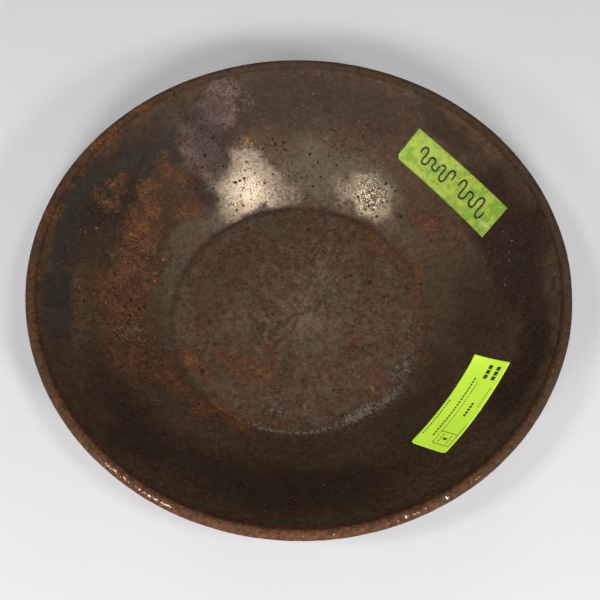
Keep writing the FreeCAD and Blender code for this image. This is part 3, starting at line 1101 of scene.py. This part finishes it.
def printed_ink():
    g = Graph("printed_ink")
    speckle = g.noise(1800, 3, 0.6)
    g.surface(Base_Color=g.mix(g.step(speckle, 0.4, 0.75), PRINT_DARK, PRINT_LIGHT))
    g.surface(Roughness=g.total((speckle, 0.25), 0.42))
    return g.material


# Printing on the sticker, as plain bars where there were words: how far in from the sticker's
# high-azimuth end it starts and stops, how far out from its inner edge, height, and the lengths
# of the dashes and gaps, or none for a solid line.
PRINTED_ROWS = (
    (4.0, 13.5, 14.8, 2.6, (2.6, 0.7)),
    (4.0, 13.5, 20.4, 2.6, (2.6, 0.7)),
    (16.0, 62.0, 12.0, 0.28, None),
    (45.0, 62.0, 23.6, 0.28, None),
    (14.0, 58.0, 9.0, 0.9, (1.5, 0.6)),
    (32.0, 60.0, 2.2, 0.7, (1.2, 0.6)),
    (30.0, 42.0, 18.0, 1.5, (1.5, 0.6)),
    (18.0, 32.0, 22.6, 0.5, (1.0, 0.6)),
    (54.5, 60.5, 20.6, 0.5, (1.1, 0.5)),
    (54.5, 60.5, 15.0, 0.5, (1.1, 0.5)),
)
# Bars across the sticker: how far in from that end, where they start and stop, and width.
PRINTED_BARS_ACROSS = ((62.0, 12.0, 23.6, 0.28), (53.0, 12.0, 23.6, 0.28), (57.5, 16.6, 19.0, 1.6))
PRINT_LOW = 0.01
PRINT_HIGH = 0.08
PRINT_STEP = 1.2


def bar(start, stop, middle, height):
    """A printed bar, from distances in from the high-azimuth end and out from the inner edge."""
    end = STICKER["length"] / 2
    inner = -STICKER["width"] / 2
    count = max(2, int(abs(stop - start) / PRINT_STEP) + 1)
    along = end - np.linspace(stop, start, count)[:, None] + np.zeros((1, 2))
    across = inner + middle + np.array([[-height / 2, height / 2]]) + np.zeros((count, 1))
    top = LIFT + STICKER["thick"]
    return plate(STICKER, across, along, top + PRINT_LOW, top + PRINT_HIGH)


def make_printing():
    """The sticker's printing, as plain bars and dashes."""
    parts = []
    for start, stop, middle, height, dashes in PRINTED_ROWS:
        if dashes is None:
            parts.append(bar(start, stop, middle, height))
            continue
        dash, gap = dashes
        at = start
        while at + dash <= stop:
            parts.append(bar(at, at + dash, middle, height))
            at += dash + gap
    for at, low, high, width in PRINTED_BARS_ACROSS:
        parts.append(bar(at - width / 2, at + width / 2, (low + high) / 2, high - low))
    points, faces = joined(parts)
    add_piece("sticker_printing", points, faces, printed_ink())


def wire_steel():
    """The rim wire, seen only from below: dull drawn steel with rust freckles."""
    g = Graph("rim_wire_steel")
    mottle = g.noise(260, 5, 0.6)
    grain = g.noise(1200, 4, 0.7)
    rust = g.step(g.total((mottle, 0.6), (grain, 0.4)), 0.44, 0.60)
    colour = g.mix(grain, WIRE_DARK, WIRE_LIGHT)
    colour = g.mix(rust, colour, g.mix(grain, RUST_DEEP, RUST_BRIGHT))
    g.surface(Base_Color=colour, Metallic=g.maths("SUBTRACT", 0.8, rust, clamp=True))
    g.surface(Roughness=g.total((grain, 0.3), (rust, 0.25), 0.28))
    g.surface(Normal=g.bump(g.total(rust, grain), 0.05 * MM))
    return g.material


def floor_paper():
    g = Graph("pale_floor")
    faint = g.noise(7, 3, 0.5)
    g.surface(Base_Color=g.mix(faint, FLOOR_DARK, FLOOR_LIGHT), Roughness=0.7)
    return g.material


def add_floor():
    bpy.ops.mesh.primitive_plane_add(size=8)
    floor = bpy.context.object
    floor.name = "table"
    floor.data.materials.append(floor_paper())


# Soft lamps: azimuth, elevation, distance, size across and power in watts.
LAMPS = (
    ("key", -48, 62, 1.5, 0.20, 4.1),
    ("second", -144, 59, 1.5, 0.18, 3.9),
    ("right_soft", -52, 35, 2.6, 0.36, 18),
    ("left_soft", -124, 35, 2.6, 0.36, 12),
    ("front", -90, 40, 2.0, 0.3, 11),
    ("front_low", -90, 35, 2.6, 0.5, 14),
    ("back_fill", 70, 40, 2.6, 1.0, 4),
    ("back_left", 150, 40, 2.6, 1.0, 2.5),
)
WORLD_STRENGTH = 0.14


def add_light(name, azimuth, elevation, distance, size, power):
    """A round soft lamp aimed at the pan's middle."""
    lamp = bpy.data.lights.new(name, "AREA")
    lamp.shape = "DISK"
    lamp.size = size
    lamp.energy = power
    light = add_object(name, lamp)
    turn, rise = math.radians(azimuth), math.radians(elevation)
    level = math.cos(rise)
    towards = Vector((math.cos(turn) * level, math.sin(turn) * level, math.sin(rise)))
    light.location = towards * distance
    light.rotation_euler = (-light.location).to_track_quat("-Z", "Y").to_euler()


def add_world(strength):
    world = bpy.data.worlds.new("studio")
    scene.world = world
    world.use_nodes = True
    background = world.node_tree.nodes["Background"]
    background.inputs["Color"].default_value = (1, 1, 1, 1)
    background.inputs["Strength"].default_value = strength


# The camera that the photo was taken with, as fitted: lens for a sensor 36 mm wide, degrees
# below level and of roll, and place.
SENSOR_WIDTH = 36
FOCAL = 57.18
TILT_DOWN = 62.07
ROLL = 0.97
CAMERA_PLACE = Vector((0.0006, -0.2662, 0.5222))


def add_camera():
    data = bpy.data.cameras.new("camera")
    data.sensor_width = SENSOR_WIDTH
    data.lens = FOCAL
    data.clip_start = 0.01
    camera = add_object("camera", data)
    tilt = Matrix.Rotation(math.radians(90 - TILT_DOWN), 4, "X")
    roll = Matrix.Rotation(math.radians(ROLL), 4, "Z")
    camera.matrix_world = Matrix.Translation(CAMERA_PLACE) @ tilt @ roll
    scene.camera = camera


make_pan()
make_tape()
make_scribble()
make_sticker()
make_printing()
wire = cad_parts["rim_wire"]
wire.data.materials.clear()
wire.data.materials.append(wire_steel())

add_floor()
for lamp in LAMPS:
    add_light(*lamp)
add_world(WORLD_STRENGTH)
add_camera()
scene.view_settings.view_transform = "Standard"
